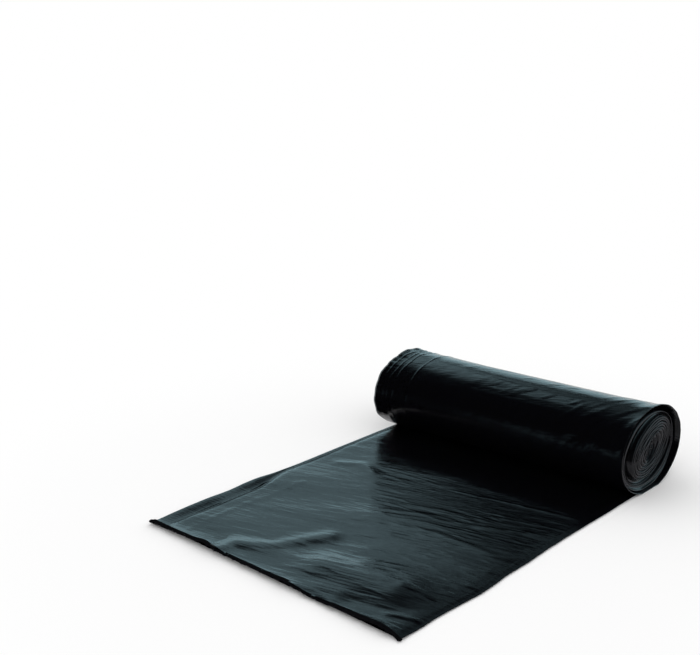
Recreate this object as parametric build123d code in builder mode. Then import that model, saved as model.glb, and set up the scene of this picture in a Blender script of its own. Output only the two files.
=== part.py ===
"""A part-used roll of refuse sacks: one web of folded film, wound without a core.

The web is a lay-flat tube of sacks folded once along its middle, so it has two
halves joined by a rounded fold on its +X side. It is wound into a soft oval roll
whose axis lies along X, leaves the roll at the bottom and lies on the floor as a
tail that ends, towards -Y, in a row of torn perforation ties.

The web is one piece, so the part is one solid. The origin is at the bottom centre
of its bounding box. Lengths are in millimetres and angles in degrees.
"""

import os
from math import atan, cos, degrees, radians, sin, sqrt

from build123d import *

# The web
web_width = 350.0  # the folded web, and so the length of the roll
half_thickness = 0.9  # one lay-flat half, with the air between its two plies
fold_gap = 0.2  # air between the two halves
upper_inset = 14.0  # the upper half's edge stands this far inside the lower one's

# The roll
roll_width = 125.0
roll_height = 94.0  # as it rests on its flat spot
side_radius = 38.0  # the tight arcs at the front and back of the oval
settle = 1.5  # how far the soft roll has sunk onto its flat spot

# The ends of the roll: bands of turns that stand back from the web's edge
turn_pitch = 2.0
lead_in = 6.0  # where a turn starts, as an angle round from the bottom
turn_gap = 0.5  # width of the groove that shows between two turns
groove_depth = 1.2
lip_turns = 1  # the outermost turns, which reach the full width
outer_bands = ((3, 2.5), (1, 0.8), (1, 6.0))  # (turns, recess), going inwards
coil_recess = 4.0  # all the turns inside those bands
core_radius = 2.0  # the tightest bend of the innermost turn
core_recess = 8.0  # the hollow left where the middle has collapsed
core_fold_recess = 5.0  # the web's inner end, which crosses that hollow in an S
core_fold_share = 0.7  # of the hollow's length that the S spans

# Edges of the outer plies, which show as steps round the -X end of the roll
ply_step = 0.4
ply_edges = (60.0, 35.0)  # distances from that end, the outermost ply first

# The tail
tail_inset = 0.5  # each of its edges lies this far inside the end of the roll
tail_length = 415.0  # from the roll's middle to the tips of the torn ties
tie_length = 2.0
tie_width = 1.5
tie_spacing = 13.2

# The oval that the first turn starts from: the roll comes out a pitch narrower
# than this, and half a pitch lower at the top
oval_width = roll_width + turn_pitch
oval_height = roll_height + settle + turn_pitch / 2
side_reach = oval_width / 2 - side_radius  # from the middle to a side arc's centre
side_angle = 2 * degrees(atan(side_reach / (oval_height / 2 - side_radius))) - 90
flat_radius = side_radius + side_reach / cos(radians(side_angle))  # top and bottom
quarter = turn_pitch / 4  # each arc of the winding is this much tighter
all_turns = int((side_radius - core_radius) / turn_pitch)
coil_turns = all_turns - lip_turns - sum(turns for turns, _ in outer_bands)
end_bands = (*outer_bands, (coil_turns, coil_recess))

# What follows from them
web_thickness = 2 * half_thickness + fold_gap
half_width = web_width / 2
roll_back = oval_width / 2 - quarter * (1 - cos(radians(side_angle)))
roll_y = (tail_length - roll_back) / 2
torn_y = roll_y - tail_length + tie_length
flat_reach = sqrt(flat_radius**2 - (flat_radius - settle) ** 2)


def turn_start(turn, inset=0.0):
    """The point just past the bottom of the roll where a turn of the spiral starts."""
    shrink = turn * turn_pitch + inset
    radius = flat_radius - shrink
    rise = radius * (1 - cos(radians(lead_in)))
    return (roll_y + radius * sin(radians(lead_in)), shrink - settle + rise)


def winding(first_turn, last_turn, inset=0.0):
    """Draws turns of the spiral from outside to inside, as a chain of tangent arcs.

    The first turn starts just past the bottom. It goes up the roll's back and comes
    down its front. inset moves the whole spiral inwards, parallel to itself.
    """
    shrink = first_turn * turn_pitch + inset
    start = turn_start(first_turn, inset)
    tangent = (cos(radians(lead_in)), sin(radians(lead_in)))
    for turn in range(first_turn, last_turn):
        led_in = lead_in if turn == first_turn else 0
        arcs = (
            (flat_radius, 90 - side_angle - led_in),
            (side_radius, 2 * side_angle),
            (flat_radius, 180 - 2 * side_angle),
            (side_radius, 2 * side_angle),
            (flat_radius, 90 - side_angle),
        )
        for step, (radius, sweep_angle) in enumerate(arcs):
            tightened = radius - shrink - step * quarter
            arc = JernArc(start, tangent, tightened, sweep_angle)
            start = arc @ 1
            tangent = arc % 1
        shrink += turn_pitch
    return start


def turn_area(turn, inset=0.0, mode=Mode.ADD):
    """The area inside one turn, closed by the short step between its two ends."""
    with BuildLine() as outline:
        end = winding(turn, turn + 1, inset)
        Line(end, turn_start(turn, inset))
    make_face(outline.edges(), mode=mode)


def groove_area(first_turn, last_turn):
    """The thin spiral gap that runs between neighbouring turns of a band."""
    with BuildLine() as outline:
        outer_end = winding(first_turn, last_turn)
        inner_end = winding(first_turn, last_turn, turn_gap)
        Line(outer_end, inner_end)
        Line(turn_start(first_turn), turn_start(first_turn, turn_gap))
    make_face(outline.edges())


def folded_section():
    """The folded web's cross-section, drawn on an XZ plane with its fold at +X."""
    edge_radius = half_thickness / 2
    fold_x = half_width - tail_inset - web_thickness / 2
    lower_x = edge_radius + tail_inset - half_width
    upper_x = lower_x + upper_inset
    upper_z = half_thickness + fold_gap
    with BuildLine() as outline:
        Line((fold_x, 0), (lower_x, 0))
        CenterArc((lower_x, edge_radius), edge_radius, 90, 180)
        Line((lower_x, half_thickness), (fold_x, half_thickness))
        CenterArc((fold_x, web_thickness / 2), fold_gap / 2, -90, 180)
        Line((fold_x, upper_z), (upper_x, upper_z))
        CenterArc((upper_x, upper_z + edge_radius), edge_radius, 90, 180)
        Line((upper_x, web_thickness), (fold_x, web_thickness))
        CenterArc((fold_x, web_thickness / 2), web_thickness / 2, -90, 180)
    make_face(outline.edges())


def core_fold():
    """The web's inner end, bent into an S across the collapsed middle."""
    reach = core_fold_share * side_reach
    bend = reach / 2  # half the span of each of the S's two arcs
    centre_z = oval_height / 2 - settle
    with BuildLine() as path:
        ThreePointArc(
            (roll_y - reach, centre_z),
            (roll_y - reach + bend, centre_z + bend / 2),
            (roll_y, centre_z),
        )
        ThreePointArc(
            (roll_y, centre_z),
            (roll_y + bend, centre_z - bend / 2),
            (roll_y + reach, centre_z),
        )
    trace(path.edges(), line_width=web_thickness)


with BuildPart() as bag_web:
    # The wound turns, cut flat where they rest
    with BuildSketch(Plane.YZ.offset(-half_width)):
        turn_area(0)
    extrude(amount=web_width)
    with Locations((0, roll_y, 0)):
        Box(
            2 * web_width,
            2 * roll_width,
            2 * settle,
            align=(Align.CENTER, Align.CENTER, Align.MAX),
            mode=Mode.SUBTRACT,
        )

    # The edges of the outer plies, as two shallow steps round the -X end
    for count, distance in enumerate(ply_edges):
        with BuildSketch(Plane.YZ.offset(-half_width)):
            turn_area(0, count * ply_step)
            turn_area(0, (count + 1) * ply_step, Mode.SUBTRACT)
        extrude(amount=distance, mode=Mode.SUBTRACT)

    # Both ends: bands of turns that stand back, each with its spiral groove
    for side in (-1, 1):
        end_plane = Plane.YZ.offset(side * half_width)
        band_start = lip_turns
        for turns, recess in end_bands:
            band_end = band_start + turns
            with BuildSketch(end_plane):
                turn_area(band_start)
                turn_area(band_end, mode=Mode.SUBTRACT)
            extrude(amount=-side * recess, mode=Mode.SUBTRACT)
            with BuildSketch(end_plane):
                groove_area(band_start, band_end)
            extrude(amount=-side * (recess + groove_depth), mode=Mode.SUBTRACT)
            band_start = band_end
        with BuildSketch(end_plane):
            turn_area(all_turns)
        extrude(amount=-side * core_recess, mode=Mode.SUBTRACT)
        with BuildSketch(end_plane.offset(-side * core_fold_recess)):
            core_fold()
        extrude(amount=-side * core_recess)

    # The web under the roll: pressed solid over the back half of the flat spot
    with BuildSketch(Plane.XY):
        with Locations((0, roll_y)):
            Rectangle(
                web_width - 2 * tail_inset,
                flat_reach,
                align=(Align.CENTER, Align.MIN),
            )
    extrude(amount=web_thickness)

    # The tail, from the roll's middle to the torn edge
    with BuildSketch(Plane.XZ.offset(-roll_y)):
        folded_section()
    extrude(amount=roll_y - torn_y)

    # The torn ties, in a row on each half
    for level, inset in ((0, 0), (half_thickness + fold_gap, upper_inset)):
        tie_count = int((web_width - inset) / tie_spacing)
        with BuildSketch(Plane.XY.offset(level)):
            with Locations((inset / 2, torn_y - tie_length / 2)):
                with GridLocations(tie_spacing, 0, tie_count, 1):
                    Rectangle(tie_width, tie_length)
        extrude(amount=half_thickness)

bag_web.part.label = "bag_web"

os.makedirs("parts", exist_ok=True)
export_step(bag_web.part, "parts/bag_web.step")
print("solids", len(bag_web.part.solids()), "turns", all_turns)
print("volume in litres", round(bag_web.part.volume / 1e6, 3))
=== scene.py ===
"""Looks for the part-used roll of refuse sacks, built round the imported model.

The web is a flat tube of black film folded once along its middle. Every piece starts
as a flat grid, which is folded along its fold line, wrinkled, and laid on the floor or
wound round the roll. X runs along the roll, the tail lies towards -Y, lengths are in
metres.
"""

import math

import bmesh
import bpy
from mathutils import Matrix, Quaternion, Vector, noise


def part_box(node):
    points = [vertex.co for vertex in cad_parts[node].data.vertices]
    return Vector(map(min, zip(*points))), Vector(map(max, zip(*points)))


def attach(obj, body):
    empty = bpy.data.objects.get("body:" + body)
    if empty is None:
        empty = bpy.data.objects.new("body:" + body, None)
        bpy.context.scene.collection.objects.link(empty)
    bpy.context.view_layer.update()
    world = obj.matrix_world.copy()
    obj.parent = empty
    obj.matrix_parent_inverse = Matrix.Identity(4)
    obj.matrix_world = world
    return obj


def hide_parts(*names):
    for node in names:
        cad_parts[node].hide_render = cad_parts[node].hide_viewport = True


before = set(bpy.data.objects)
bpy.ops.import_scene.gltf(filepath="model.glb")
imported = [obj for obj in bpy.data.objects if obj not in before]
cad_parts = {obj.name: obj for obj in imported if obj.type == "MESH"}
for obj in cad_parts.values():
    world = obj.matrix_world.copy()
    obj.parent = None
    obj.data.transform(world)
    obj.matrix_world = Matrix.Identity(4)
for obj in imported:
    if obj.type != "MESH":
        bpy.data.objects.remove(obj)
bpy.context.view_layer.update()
low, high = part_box("bag_web")

MM = 0.001
TAU = math.tau

# The roll, from the frame's box and its own section
roll_width = 125 * MM
roll_height = high.z - low.z
roll_back = high.y
roll_y = roll_back - roll_width / 2
half_web = (high.x - low.x) / 2
settle = 1.5 * MM
oval_height = roll_height + settle
flare = 1.5 * MM  # how far the ends of the roll spread
flare_reach = 22 * MM
waist = 2.0 * MM  # how far the middle of the roll is drawn in

# The web
half_thickness = 0.9 * MM  # one lay-flat half, with the air between its two plies
fold_gap = 0.2 * MM
web_thickness = 2 * half_thickness + fold_gap
torn_y = low.y + 2 * MM
tail_length = roll_y - torn_y  # the web leaves the roll under its middle
under_roll = 4 * MM  # how far the tail's mesh runs on past that line
tie_spacing = 13.2 * MM
curled_lip = 2.2 * MM  # the width of the bare strip's edge, which turns down
rim_lap = 2.4 * MM  # how far the torn rim laps over the web


def smooth(edge0, edge1, x):
    """0 below edge0, 1 above edge1, and an S between them."""
    t = min(1.0, max(0.0, (x - edge0) / (edge1 - edge0)))
    return t * t * (3 - 2 * t)


def grain(x, y, size_x, size_y, seed):
    """Smooth noise from -1 to 1, stretched to grains of the given size."""
    return noise.noise(Vector((x / size_x, y / size_y, seed * 7.31)))


def crease(x, y, size_x, size_y, seed):
    """Noise with sharp ridges, from 0 in the flats to 1 along a crease."""
    return (1 - abs(grain(x, y, size_x, size_y, seed)) * 2.2) ** 3


# ---------------------------------------------------------------- the tail

# The pale edge material is partly the thinner, greyer film and partly a painted highlight
# for the light its thin edges catch.
torn_material_slot = 2  # after the film and the film's pale edge


def distance_to_line(at, line):
    """Distance from a point to a broken line, all in the same unit."""
    nearest = math.inf
    for start, end in zip(line, line[1:]):
        run_x, run_y = end[0] - start[0], end[1] - start[1]
        to_x, to_y = at[0] - start[0], at[1] - start[1]
        share = (run_x * to_x + run_y * to_y) / (run_x**2 + run_y**2)
        share = min(1.0, max(0.0, share))
        nearest = min(nearest, math.hypot(to_x - share * run_x, to_y - share * run_y))
    return nearest


def fold(at, height, half_width, *line):
    """A fold of the film along a broken line across the floor, in mm."""
    away = distance_to_line(at, line) / half_width
    return height * math.exp(-away * away) if away < 3 else 0.0


def broad_folds(at):
    """The soft folds near the tail's torn end and its two corners, in mm."""
    lift = fold(at, 2.7, 12, (-70, -240), (-62, -214), (-30, -190), (-6, -142))
    lift += fold(at, 5.7, 30, (40, -188), (116, -180))
    lift += fold(at, 1.2, 12, (-72, -206), (-40, -212), (-6, -196))
    lift += fold(at, 9.5, 28, (-170, -264), (-100, -265))
    lift += fold(at, 3.5, 22, (-60, -256), (28, -256))
    lift += fold(at, 1.6, 11, (44, -240), (66, -226), (84, -223))
    lift += fold(at, 6.0, 21, (112, -257), (150, -251))
    return lift


def creases(at):
    """The thin creases, the first along the open edge, and a pucker by the roll, in mm."""
    lift = fold(at, 0.60, 2.5, (-127, -222), (-131, -152), (-124, -61))
    lift += fold(at, 0.45, 2.6, (57, -166), (104, -147), (141, -134), (174, -127))
    lift += fold(at, 0.38, 2.4, (60, -156), (108, -137), (160, -122))
    lift += fold(at, 0.40, 1.9, (-2, -66), (55, -40), (114, -17), (171, 5))
    lift += fold(at, 0.60, 5.0, (31, -78), (74, -66), (150, -69), (167, -54))
    lift += fold(at, 0.50, 3.5, (120, -173), (156, -165), (174, -160))
    lift += fold(at, 0.45, 2.0, (15, 30), (83, 43), (159, 53))
    lift += fold(at, 0.40, 1.8, (91, 4), (129, 14), (171, 26))
    lift += fold(at, 1.3, 7, (-134, 6), (-112, 18), (-84, 10))
    lift += fold(at, 0.80, 2.6, (140, -216), (157, -207), (172, -204))
    lift += fold(at, 0.45, 2.2, (20, -190), (43, -184), (60, -179))
    return lift


def tail_folds(x, y):
    """Height of the tail's folds and creases at a point of the floor."""
    at = (x / MM, y / MM)
    return (broad_folds(at) + creases(at)) * MM


def wrinkle(x, y):
    """Height of the film's wrinkles on the tail at a point of the floor."""
    run = y - torn_y
    slant = 0.30 - 0.16 * smooth(-0.06, 0.09, y)
    bend = 5 * MM * grain(x, y, 0.10, 0.08, 1)
    across = y - slant * x + bend
    broad = 2.0 * MM * grain(x, across, 0.13, 0.055, 2)
    rolls = 0.60 * MM * grain(x, across, 0.060, 0.013, 3)
    fine = 0.30 * MM * grain(x, across, 0.026, 0.0045, 4)
    hair = 0.27 * MM * grain(x, across, 0.013, 0.0025, 5)
    sharp = 0.28 * MM * max(0.0, crease(x, across, 0.05, 0.014, 6))
    patches = 0.55 + 0.9 * grain(x, y, 0.06, 0.05, 7)
    drawn = 0.40 + 0.60 * smooth(-0.09, 0.06, x + 0.35 * (run - 0.12))
    busy = drawn * max(0.15, patches)
    held = 1 - 0.55 * smooth(0.0, 0.055, y) * smooth(-0.13, -0.03, x)
    return broad + ((rolls + sharp) * (0.3 + 0.7 * drawn) + (fine + hair) * busy) * held


def puff(x, y):
    """Air between the two halves, which never cross."""
    swell = wrinkle(x, y) + tail_folds(x, y) + 0.9 * MM
    return 0.5 * (swell + math.sqrt(swell * swell + (0.7 * MM) ** 2))


def tail_lift(y):
    """How high the web is off the floor: its torn end curls up a little."""
    return 0.3 * MM + 1.2 * MM * math.exp(-(y - torn_y) / 0.010)


def fold_line(y):
    """The tail's folded edge, which wanders a little."""
    wander = 0.7 * MM * grain(0, y, 1, 0.05, 8) + 0.4 * MM * grain(0, y, 1, 0.02, 9)
    belly = 3.2 * MM * math.exp(-(((y + 0.128) / 0.032) ** 2))
    tuck = 2.0 * MM * smooth(-0.06, -0.01, y)
    return half_web - 0.8 * MM + wander + belly - tuck


def open_edge(half, y):
    """The tail's open edges: the lower half's on the outside, the upper's inside."""
    wander = 0.7 * MM * grain(0, y, 1, 0.06, 11 + half)
    if half == 0:
        return -half_web + 0.8 * MM + wander
    # Near the torn end the upper half stands further in
    inset = 20 * MM - 13 * MM * smooth(-0.105, -0.045, y)
    ragged = 0.9 * MM * grain(0, y, 1, 0.011, 13)
    return -half_web + inset + wander + ragged


def strip_rise(x, y):
    """How far the lower half's bare strip curls up towards its open edge."""
    start = open_edge(1, y)
    stop = open_edge(0, y) + curled_lip
    height = 2.6 * MM + 1.3 * MM * grain(0, y, 1, 0.035, 14)
    height *= 0.15 + 0.85 * smooth(0.0, 0.03, y - torn_y) * smooth(-0.02, -0.09, y)
    if x < stop:
        share = min(1.0, max(0.0, (stop - x) / curled_lip))
        return height - min(1.3 * MM, 0.6 * height) * share * share
    return height * smooth(start, stop, x)


def edge_beads(from_edge, from_fold, y):
    """The film's stiff line inside the open edge, and the dent beside the fold."""
    bead = 0.85 * MM * math.exp(-(((from_edge - 2.4 * MM) / (1.3 * MM)) ** 2))
    dent = 0.25 * MM * math.exp(-(((from_fold - 8 * MM) / (1.6 * MM)) ** 2))
    pillow = 0.4 * MM * math.exp(-(((from_fold - 5 * MM) / (2.6 * MM)) ** 2))
    return bead + (pillow - dent) * smooth(-0.20, -0.08, y)


def section_steps():
    """The folded section as (half, side, share) steps round its outline.

    half is 0 for the lower one and 1 for the upper, side is 0 for its underside and 1
    for its top, and share runs from 0 at the open edge to 1 at the fold.
    """
    plain = [i / 8 for i in range(9)]
    # The steps are closer at the bare strip, and at the top's open edge and fold
    strip = [0.0, 0.003, 0.006, 0.009, 0.015, 0.022, 0.03, 0.04, 0.05, 0.06]
    strip += [0.2, 0.4, 0.7, 1.0]
    top = [i * 0.0028 for i in range(10)]
    top += [0.028 + 0.946 * i / 80 for i in range(1, 80)]
    top += [0.974 + i * 0.0026 for i in range(11)]
    steps = [(0, 0, s) for s in plain]
    steps += [(1, 1, s) for s in reversed(top)]
    steps += [(1, 0, s) for s in plain]
    steps += [(0, 1, s) for s in reversed(strip)]
    return steps


def tail_point(step, y):
    """Places one point of the folded tail."""
    half, side, share = step
    edge_x = open_edge(half, y)
    outer_face = half == side
    reach = fold_line(y) - (0 if outer_face else half_thickness)
    x = edge_x + (reach - edge_x) * share
    base = tail_lift(y) + strip_rise(x, y)
    rim = smooth(0.0, 0.03, share) * (1 - smooth(0.955, 1.0, share))
    swell = puff(x, y) * (0.12 + 0.88 * rim)
    if half == 0:
        swell *= 0.75 * math.exp(-(y - torn_y) / 0.02)
    else:
        swell += edge_beads(x - edge_x, reach - x, y)
    level = half * (half_thickness + fold_gap) + side * half_thickness
    middle = web_thickness / 2
    round_over = smooth(0.975, 1.0, share)
    level += (middle - level) * round_over * (0.85 if outer_face else 0.5)
    pinch = 1 - smooth(0.0, 0.008, share)
    if side == 1:
        level -= 0.75 * half_thickness * pinch
    return Vector((x, y, base + level + swell * (1 - 0.6 * round_over)))


def grid_piece(name, columns, rows, place, closed=False, edges=()):
    """A grid of columns by rows, each vertex of which is put where place says.

    The faces of the columns in edges take the piece's second material.
    """
    bm = bmesh.new()
    bmesh.ops.create_grid(bm, x_segments=columns - 1, y_segments=rows - 1, size=0.5)
    for face in bm.faces:
        left = min(vert.co.x for vert in face.verts)
        face.material_index = round((left + 0.5) * (columns - 1)) in edges
    for vert in bm.verts:
        column = round((vert.co.x + 0.5) * (columns - 1))
        row = round((vert.co.y + 0.5) * (rows - 1))
        vert.co = place(column, row)
    if closed:
        bmesh.ops.remove_doubles(bm, verts=bm.verts, dist=1e-7)
        bmesh.ops.holes_fill(bm, edges=[e for e in bm.edges if e.is_boundary], sides=0)
    bmesh.ops.recalc_face_normals(bm, faces=bm.faces)
    for face in bm.faces:
        face.smooth = True
    mesh = bpy.data.meshes.new(name)
    bm.to_mesh(mesh)
    bm.free()
    piece = bpy.data.objects.new(name, mesh)
    bpy.context.scene.collection.objects.link(piece)
    return piece


def torn_section(x):
    """The torn rim's section at x: (y, z) points from its top round to its foot."""
    tie = math.exp(-((((x / tie_spacing + 0.37) % 1) - 0.5) / 0.07) ** 2)
    ragged = 0.5 * MM + 1.7 * MM * grain(x, 0, 0.0042, 1, 51)
    ragged += 1.4 * MM * grain(x, 0, 0.011, 1, 52) + 1.6 * MM * tie
    top = tail_point((1, 1, max(0.0, x + half_web) / (2 * half_web)), torn_y).z
    foot = max(0.2 * MM, top - 3.1 * MM) + 0.9 * MM * (1 + grain(x, 0, 0.0025, 1, 53))
    out = torn_y - 0.6 * MM
    return (
        (torn_y + rim_lap, top + 0.1 * MM),
        (torn_y + 0.6 * MM, top + 0.2 * MM + 0.8 * MM * grain(x, 0, 0.003, 1, 54)),
        (out - ragged * 0.5, top - 0.5 * MM),
        (out - ragged, foot + (top - foot) * 0.45),
        (out - ragged * 0.4, foot),
        (torn_y + 1.5 * MM, foot),
        (torn_y + rim_lap, foot + 0.6 * MM),
    )


def add_torn_rim(tail):
    """Joins the torn, stretched rim of the perforation to the tail's end."""
    columns, rows = 460, 8
    first = open_edge(0, torn_y) + 1 * MM
    last = fold_line(torn_y) + 0.6 * MM

    def place(column, row):
        x = first + (last - first) * column / (columns - 1)
        y, z = torn_section(x)[row % (rows - 1)]
        return Vector((x, y, z))

    rim = grid_piece("torn_rim", columns, rows, place, closed=True)
    bm = bmesh.new()
    bm.from_mesh(tail.data)
    whole = len(bm.faces)
    bm.from_mesh(rim.data)
    bm.faces.ensure_lookup_table()
    for face in bm.faces[whole:]:
        face.material_index = torn_material_slot
    bm.to_mesh(tail.data)
    bm.free()
    bpy.data.objects.remove(rim)


def make_tail():
    """The unrolled web: the folded section, carried from the torn end to the roll."""
    steps = section_steps()
    steps.append(steps[0])
    rows = 600

    def place(column, row):
        y = torn_y + (tail_length + under_roll) * row / (rows - 1)
        return tail_point(steps[column], y)

    shares = [share for half, side, share in steps]
    at_edge = 0.004  # of the web's width
    # The faces along the open edge take the pale edge material, with its painted
    # highlight.
    edges = [i for i, pair in enumerate(zip(shares, shares[1:])) if max(pair) < at_edge]
    return grid_piece("tail_web", len(steps), rows, place, closed=True, edges=edges)


# ---------------------------------------------------------------- the roll

turn_pitch = 3.0 * MM
loose_pitch = 8.0 * MM  # the outer turns stand well apart at the ends
mean_radius = 55 * MM
plied_end = 66 * MM  # the plies' edges all lie within this of the -X end


def oval(depth, angle):
    """A point (y, z) on the winding, depth under the surface, angle from the bottom.

    Inwards the oval gets more tilted and moves to the back.
    """
    share = min(1.0, depth / (roll_height / 2))
    folded = smooth(0.70, 1.0, share)
    a = (roll_width / 2 - depth) * (1 - 0.45 * folded)
    b = oval_height / 2 - depth * (1 - 0.02 * share)
    tilt = math.radians(27) * smooth(0.02, 0.45, share) + math.radians(38) * folded
    y = a * math.sin(angle)
    z = -b * math.cos(angle)
    centre_y = roll_y + 8 * MM * smooth(0.05, 0.5, share)
    centre_z = oval_height / 2 - settle - 2 * MM * share
    turned_y = y * math.cos(tilt) - z * math.sin(tilt)
    turned_z = y * math.sin(tilt) + z * math.cos(tilt)
    return centre_y + turned_y, centre_z + turned_z


def roll_wrinkle(x, angle):
    """How far the film stands out of the roll's surface."""
    along = angle * mean_radius
    # Most wrinkles run slantwise round the roll: level is along them
    across = x * 0.79 + along * 0.62
    level = x * 0.62 - along * 0.79
    soft = 0.85 * MM * grain(across, level, 0.012, 0.045, 21)
    tight = 0.26 * MM * grain(across, level, 0.0048, 0.024, 22)
    sharp = 0.30 * MM * max(0.0, crease(across, level, 0.011, 0.05, 24))
    long_ones = 0.35 * MM * grain(x, along, 0.09, 0.014, 23)
    to_right = 0.25 + 0.75 * smooth(-0.10, 0.10, x)
    # One crumpled patch, low on the front near the +X end
    gathered = math.exp(-(((x - 0.126) / 0.036) ** 2 + ((angle - 4.50) / 0.34) ** 2))
    crumpled = 2.0 * MM * gathered * grain(across, level, 0.0055, 0.013, 25)
    return (soft + tight + sharp) * to_right + long_ones + crumpled


def ply_steps(x, angle):
    """The outer plies' ragged edges: small steps down towards the -X end."""
    drop = 0.0
    plies = (48, 1.2, 61), (25, 2.5, 62), (16, 3.5, 66), (8, 3.0, 63)
    for place, wander, seed in plies:
        edge = -half_web + place * MM + wander * MM * grain(0, angle, 1, 0.5, seed)
        bead = 0.50 * MM * math.exp(-(((x - edge - 0.8 * MM) / (1.0 * MM)) ** 2))
        drop += 0.40 * MM * smooth(edge + 0.3 * MM, edge - 0.3 * MM, x) - bead
    return drop


def roll_surface(x, angle, depth=0.0):
    """A point on the roll's outside, or depth under it."""
    y, z = oval(0, angle)
    centre = Vector((0, roll_y, oval_height / 2 - settle))
    out = Vector((0, y, z)) - centre
    out.normalize()
    end = max(0.0, (abs(x) - (half_web - flare_reach)) / flare_reach)
    shape = flare * end**2 - waist * (1 - (x / half_web) ** 2)
    if x < 0:
        shape += 3.0 * MM * end * grain(0, angle, 1, 0.42, 64)
        shape += 0.9 * MM * end * grain(0, angle, 1, 0.13, 65)
    shape += roll_wrinkle(x, angle) - ply_steps(x, angle)
    top = smooth(-0.2, 0.8, -math.cos(angle))
    side = smooth(-0.75, -0.2, -math.cos(angle))
    offset = shape * (0.35 * side + 0.65 * top) - depth
    point = Vector((x, y, z)) + out * offset
    point.z = max(point.z, 0.35 * MM + depth)
    return point


def skin_columns():
    """Places along the outermost turn, closer together at its ends and plies."""
    xs = []
    x = -half_web
    while x < half_web:
        xs.append(x)
        plied = x < -half_web + plied_end
        near_end = half_web - abs(x) < 4 * MM
        x += (0.8 if near_end else 1.1 if plied else 2.6) * MM
    xs.append(half_web)
    return xs


def make_outer_turn():
    """The outermost turn: one skin whose two ends curl in over the end faces."""
    skin = 1.1 * MM
    tucked = 12 * MM  # how far the film runs back inside each end
    loop = [(x, 0.0) for x in skin_columns()]
    loop += [(half_web - 0.15 * MM, skin * 0.5), (half_web - 0.6 * MM, skin)]
    loop += [(half_web - tucked, skin), (-half_web + tucked, skin)]
    loop += [(-half_web + 0.6 * MM, skin), (-half_web + 0.15 * MM, skin * 0.5)]
    loop.append(loop[0])
    rows = 360

    def place(column, row):
        x, depth = loop[column]
        angle = TAU * row / (rows - 1)
        ripple = 0.35 * MM * grain(0, angle, 1, 0.22, 31)
        if x < 0:
            ripple = 3.0 * MM * grain(0, angle, 1, 0.36, 32) - 1.5 * MM
        edge = smooth(half_web - 8 * MM, half_web, abs(x))
        return roll_surface(x + math.copysign(ripple * edge, x), angle, depth)

    rim = -half_web + 1.7 * MM
    # The faces at the -X end's rim take the pale edge material, with its painted
    # highlight.
    edges = [i for i, pair in enumerate(zip(loop, loop[1:])) if max(pair)[0] < rim]
    return grid_piece("outer_turn", len(loop), rows, place, closed=True, edges=edges)


def turn_depth(turn):
    """How deep a turn lies: the outer two are loose, the rest are tight."""
    loose_turns = 2.3
    loose = min(turn, loose_turns) * loose_pitch
    return loose + max(0.0, turn - loose_turns) * turn_pitch


def end_recess(depth):
    """How far the film stands back from the roll's end at a depth into the winding."""
    first = 0.4 * MM + 5.5 * MM * smooth(1 * MM, 8 * MM, depth)
    second = -0.9 * MM * smooth(7.4 * MM, 9.6 * MM, depth)
    second += 4.0 * MM * smooth(9.6 * MM, 15 * MM, depth)
    coil = -4.6 * MM * smooth(17.0 * MM, 20.5 * MM, depth)
    centre = 3 * MM * smooth(38 * MM, 45 * MM, depth)
    return first + second + coil + centre


def turn_loop():
    """The spiral strip's section, as (side, share, back) points.

    side is the end of the roll, share how far the point is across its turn, and back how
    far it stands behind that turn's rounded rim.
    """
    rim = (
        (0.10, 14.0),
        (0.0, 2.0),
        (0.05, 0.65),
        (0.18, 0.24),
        (0.34, 0.06),
        (0.50, 0.0),
        (0.66, 0.08),
        (0.82, 0.30),
        (0.93, 0.75),
        (0.97, 2.2),
        (0.90, 14.0),
    )
    loop = [(1, share, back * MM) for share, back in rim]
    loop += [(-1, share, back * MM) for share, back in reversed(rim)]
    return loop + loop[:1]


def make_wound_turns():
    """All the turns under the outermost one, as one spiral strip."""
    loop = turn_loop()
    first, last = 0.16, 11.6  # turns from the outside
    per_turn = 160
    rows = round((last - first) * per_turn) + 1
    start_angle = 0.55  # as a share of a turn

    def place(column, row):
        side, share, back = loop[column]
        turn = first + row / per_turn
        angle = TAU * ((turn + start_angle) % 1)
        depth = turn_depth(turn) + share * (turn_depth(turn + 1) - turn_depth(turn))
        wobble = 0.55 * MM * grain(turn, angle, 0.8, 0.6, 41 + side)
        y, z = oval(depth + wobble * smooth(0, 3, turn), angle)
        recess = end_recess(depth) + 0.8 * MM * grain(turn, angle, 0.9, 0.5, 43 + side)
        x = side * (half_web - max(0.2 * MM, recess) - back)
        flattened = max(z, 1.2 * MM + 0.5 * depth)  # on the roll's flat spot
        return Vector((x, y, flattened))

    return grid_piece("wound_turns", len(loop), rows, place, closed=True)


# ---------------------------------------------------------------- materials


class Wire:
    """A node's output that can be used in sums, with other outputs or plain numbers."""

    def __init__(self, net, socket):
        self.net = net
        self.socket = socket

    def _math(self, operation, *values):
        return self.net.node("ShaderNodeMath", {"operation": operation}, *values)

    def __add__(self, other):
        return self._math("ADD", self, other)

    def __radd__(self, other):
        return self._math("ADD", other, self)

    def __sub__(self, other):
        return self._math("SUBTRACT", self, other)

    def __rsub__(self, other):
        return self._math("SUBTRACT", other, self)

    def __mul__(self, other):
        return self._math("MULTIPLY", self, other)

    def __rmul__(self, other):
        return self._math("MULTIPLY", other, self)


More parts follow.
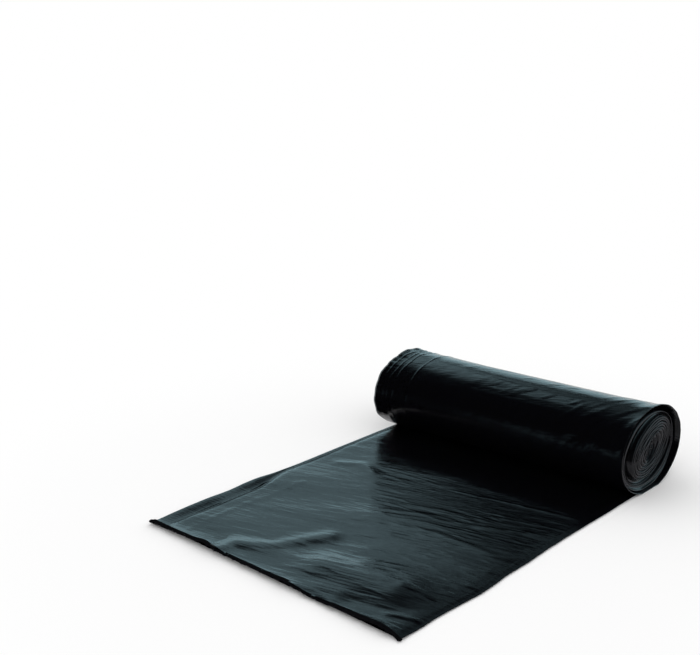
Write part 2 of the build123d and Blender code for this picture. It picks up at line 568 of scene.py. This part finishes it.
class Net:
    """Adds nodes to one material's or world's tree."""

    def __init__(self, owner):
        owner.use_nodes = True
        self.tree = owner.node_tree
        self.tree.nodes.clear()

    def node(self, kind, settings=None, *values, out=0, **named):
        """Adds a node, sets it up, fills its sockets and returns one of its outputs."""
        made = self.tree.nodes.new(kind)
        for key, value in (settings or {}).items():
            setattr(made, key, value)
        for slot, value in [*enumerate(values), *named.items()]:
            key = slot.replace("_", " ") if isinstance(slot, str) else slot
            socket = made.inputs[key]
            if isinstance(value, Wire):
                self.tree.links.new(value.socket, socket)
            elif value is not None:
                socket.default_value = value
        return Wire(self, made.outputs[out]) if made.outputs else None

    def ease(self, value, low_in, high_in, low_out, high_out):
        """Maps value from one range to another along an S."""
        return self.node(
            "ShaderNodeMapRange",
            {"interpolation_type": "SMOOTHSTEP"},
            value, low_in, high_in, low_out, high_out,
        )


def film_material():
    """Black polyethylene film: a dark gloss over fine stretch marks."""
    film = bpy.data.materials.new("black_film")
    net = Net(film)
    place = net.node("ShaderNodeTexCoord", out="Object")
    turned = net.node("ShaderNodeMapping", None, place, Rotation=(0, 0, -0.24))
    stretched = net.node("ShaderNodeMapping", None, turned, Scale=(50, 420, 420))
    fine = net.node("ShaderNodeTexNoise", None, stretched, Scale=1.0, Detail=3.0, out=0)
    blotch = net.node("ShaderNodeTexNoise", None, place, Scale=28.0, Detail=2.0, out=0)
    rough = 0.12 + 0.12 * blotch
    marks = net.node("ShaderNodeBump", None, Height=fine, Distance=0.0004, Strength=0.8)
    shader = net.node(
        "ShaderNodeBsdfPrincipled",
        None,
        Base_Color=(0.0014, 0.0014, 0.0024, 1),
        Roughness=rough,
        IOR=1.54,
        Normal=marks,
    )
    net.node("ShaderNodeOutputMaterial", None, shader)
    return film


def bare_film(name, colour, roughness, ior):
    """Film where it is too narrow for stretch marks."""
    film = bpy.data.materials.new(name)
    net = Net(film)
    shader = net.node(
        "ShaderNodeBsdfPrincipled",
        None,
        Base_Color=colour,
        Roughness=roughness,
        IOR=ior,
    )
    net.node("ShaderNodeOutputMaterial", None, shader)
    return film


def pale_edge_and_glint_material():
    """The film's open edges: stretched thin and greyer, and paler still as a painted
    highlight for the light their thin rims catch.
    """
    return bare_film("film_edge_and_painted_glint", (0.10, 0.12, 0.125, 1), 0.5, 1.5)


def torn_material():
    """Torn, stretched film: the same black without its gloss."""
    return bare_film("torn_film", (0.003, 0.003, 0.004, 1), 0.85, 1.12)


# ---------------------------------------------------------------- the studio


def plane(name, corner, far_corner, height):
    """A level rectangle for the studio, between two corners of the floor."""
    bm = bmesh.new()
    bmesh.ops.create_grid(bm, x_segments=1, y_segments=1, size=0.5)
    spread = Vector((far_corner[0] - corner[0], far_corner[1] - corner[1], 1))
    bmesh.ops.scale(bm, vec=spread, verts=bm.verts)
    middle = Vector((far_corner[0] + corner[0], far_corner[1] + corner[1], 2 * height)) / 2
    bmesh.ops.translate(bm, vec=middle, verts=bm.verts)
    mesh = bpy.data.meshes.new(name)
    bm.to_mesh(mesh)
    bm.free()
    card = bpy.data.objects.new(name, mesh)
    bpy.context.scene.collection.objects.link(card)
    return card


def shown_light(net):
    """1 for what the camera sees, straight, mirrored or through something clear."""
    seen = net.node("ShaderNodeLightPath", out="Is Camera Ray")
    mirrored = net.node("ShaderNodeLightPath", out="Is Glossy Ray")
    passed = net.node("ShaderNodeLightPath", out="Is Transmission Ray")
    either = net.node("ShaderNodeMath", {"operation": "MAXIMUM"}, seen, mirrored)
    return net.node("ShaderNodeMath", {"operation": "MAXIMUM"}, either, passed)


def make_floor():
    """Pale paper that takes the shadow near the roll and is plain white further off."""
    floor = plane("floor", (-30, -30), (30, 30), 0)
    paper = bpy.data.materials.new("pale_floor")
    net = Net(paper)
    place = net.node("ShaderNodeTexCoord", out="Object")
    away = net.node("ShaderNodeVectorMath", {"operation": "LENGTH"}, place, out="Value")
    far = net.ease(away, 0.26, 0.60, 0, 1) * shown_light(net)
    lit = net.node("ShaderNodeBsdfDiffuse", None, (0.98, 0.98, 0.98, 1))
    white = net.node("ShaderNodeEmission", None, (1, 1, 1, 1), 1.0)
    mixed = net.node("ShaderNodeMixShader", None, far, lit, white)
    net.node("ShaderNodeOutputMaterial", None, mixed)
    floor.data.materials.append(paper)


def make_world():
    """An even white room."""
    world = bpy.data.worlds.new("studio")
    bpy.context.scene.world = world
    net = Net(world)
    sky = net.node("ShaderNodeBackground", None, (1, 1, 1, 1), 1.0)
    net.node("ShaderNodeOutputWorld", None, sky)


def only_in_reflections(card):
    """Keeps a card or tent out of sight and out of the light, but in mirror images."""
    card.visible_camera = False
    card.visible_diffuse = False
    card.visible_shadow = False
    card.visible_transmission = False


def card_material(name, shader, colour):
    """One plain shader in one colour."""
    paint = bpy.data.materials.new(name)
    net = Net(paint)
    net.node("ShaderNodeOutputMaterial", None, net.node(shader, None, colour))
    return paint


def make_cards():
    """Cards over the floor: black in front and beyond the -X end, gauze at the +X end."""
    black = card_material("black_card", "ShaderNodeBsdfDiffuse", (0, 0, 0, 1))
    gauze = card_material("grey_gauze", "ShaderNodeBsdfTransparent", (0.36, 0.36, 0.38, 1))
    reach = 4
    front = torn_y - 12 * MM
    front_end = 170 * MM
    beside = -half_web - 14 * MM  # beside the tail
    roll_front = -60 * MM  # from here on a card lies closer, at the roll's end
    far_end = 120 * MM
    closer = -half_web - 3 * MM
    right_x = half_web + 4 * MM
    height = 0.2 * MM
    cards = [plane("front_card", (-reach, -reach), (front_end, front), height)]
    cards.append(plane("side_card", (-reach, front), (beside, roll_front), height))
    cards.append(plane("near_card", (-reach, roll_front), (closer, far_end), height))
    cards.append(plane("right_gauze", (right_x, -reach), (reach, reach), 1.5 * height))
    for card in cards:
        only_in_reflections(card)
        card.data.materials.append(gauze if card.name == "right_gauze" else black)


def opening_behind(net, to_x, to_y, to_z):
    """The tent's opening at the back: all of it at the horizon, the left of it above."""
    level = net.node("ShaderNodeMath", {"operation": "SQRT"}, to_x * to_x + to_y * to_y)
    leftness = net.node("ShaderNodeMath", {"operation": "DIVIDE"}, 0 - to_x, level)
    behind = net.ease(to_y, -0.02, 0.55, 0, 1)
    below = net.ease(leftness, 0.53, 0.75, 0, 1)
    above = net.ease(leftness, 0.60, 0.70, 0.26, 1)
    sideways = below + net.ease(to_z, 0.46, 0.54, 0, 1) * (above - below)
    higher = net.ease(to_z, 0.44, 0.54, 0.62, 1) * net.ease(to_z, 0.54, 0.80, 1, 0.06)
    horizon = net.ease(to_z, 0.20, 0.40, 1, 0)
    upper = sideways * higher
    return behind * net.node("ShaderNodeMath", {"operation": "MAXIMUM"}, upper, horizon)


def slot_in_front(net, to_x, to_y, to_z):
    """A narrow gap in the tent's front, for a thin light on the roll's near side."""
    slot = net.ease(to_x, -0.54, -0.50, 0, 1) * net.ease(to_x, -0.47, -0.43, 1, 0)
    return slot * net.ease(to_y, -0.6, -0.4, 1, 0) * net.ease(to_z, 0.22, 0.34, 1, 0)


def tent_cloth():
    """Black cloth with clear openings, by the direction out from the studio's middle."""
    cloth = bpy.data.materials.new("flag_cloth")
    net = Net(cloth)
    place = net.node("ShaderNodeTexCoord", out="Object")
    away = net.node("ShaderNodeVectorMath", {"operation": "NORMALIZE"}, place)
    to = [net.node("ShaderNodeSeparateXYZ", None, away, out=axis) for axis in "XYZ"]
    opening = opening_behind(net, *to) + 0.50 * slot_in_front(net, *to)
    dark = net.node("ShaderNodeBsdfDiffuse", None, (0, 0, 0, 1))
    clear = net.node("ShaderNodeBsdfTransparent", None, (0.60, 0.90, 1.0, 1))
    mixed = net.node("ShaderNodeMixShader", None, opening, dark, clear)
    net.node("ShaderNodeOutputMaterial", None, mixed)
    return cloth


def make_tent():
    """A tent of dark cloth that only reflections see, open to the back and left."""
    bm = bmesh.new()
    bmesh.ops.create_icosphere(bm, subdivisions=4, radius=4)
    mesh = bpy.data.meshes.new("flag_tent")
    bm.to_mesh(mesh)
    bm.free()
    tent = bpy.data.objects.new("flag_tent", mesh)
    bpy.context.scene.collection.objects.link(tent)
    only_in_reflections(tent)
    mesh.materials.append(tent_cloth())


def make_camera():
    """The camera, by its place, the way it looks and its lens."""
    yaw, pitch, roll = (math.radians(v) for v in (-44.17, 15.15, -1.56))
    place = Vector((0.7206, roll_y - 1.0256, 0.4947))
    ahead = Vector((
        math.sin(yaw) * math.cos(pitch),
        math.cos(yaw) * math.cos(pitch),
        -math.sin(pitch),
    ))
    data = bpy.data.cameras.new("camera")
    data.lens = 56.77
    data.sensor_width = 36
    camera = bpy.data.objects.new("camera", data)
    camera.rotation_mode = "QUATERNION"
    level = ahead.to_track_quat("-Z", "Y")
    camera.rotation_quaternion = level @ Quaternion((0, 0, 1), roll)
    camera.location = place
    bpy.context.scene.collection.objects.link(camera)
    bpy.context.scene.camera = camera


tail = make_tail()
add_torn_rim(tail)
outer_turn = make_outer_turn()
wound_turns = make_wound_turns()
film = film_material()
film_edge_and_painted_glint = pale_edge_and_glint_material()
for piece in (tail, outer_turn, wound_turns):
    piece.data.materials.append(film)
    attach(piece, "root")
# The open edges take the pale edge material, which is partly a painted highlight.
for piece in (tail, outer_turn):
    piece.data.materials.append(film_edge_and_painted_glint)
tail.data.materials.append(torn_material())
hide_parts("bag_web")
make_floor()
make_world()
make_tent()
make_cards()
make_camera()
bpy.context.scene.view_settings.view_transform = "Standard"
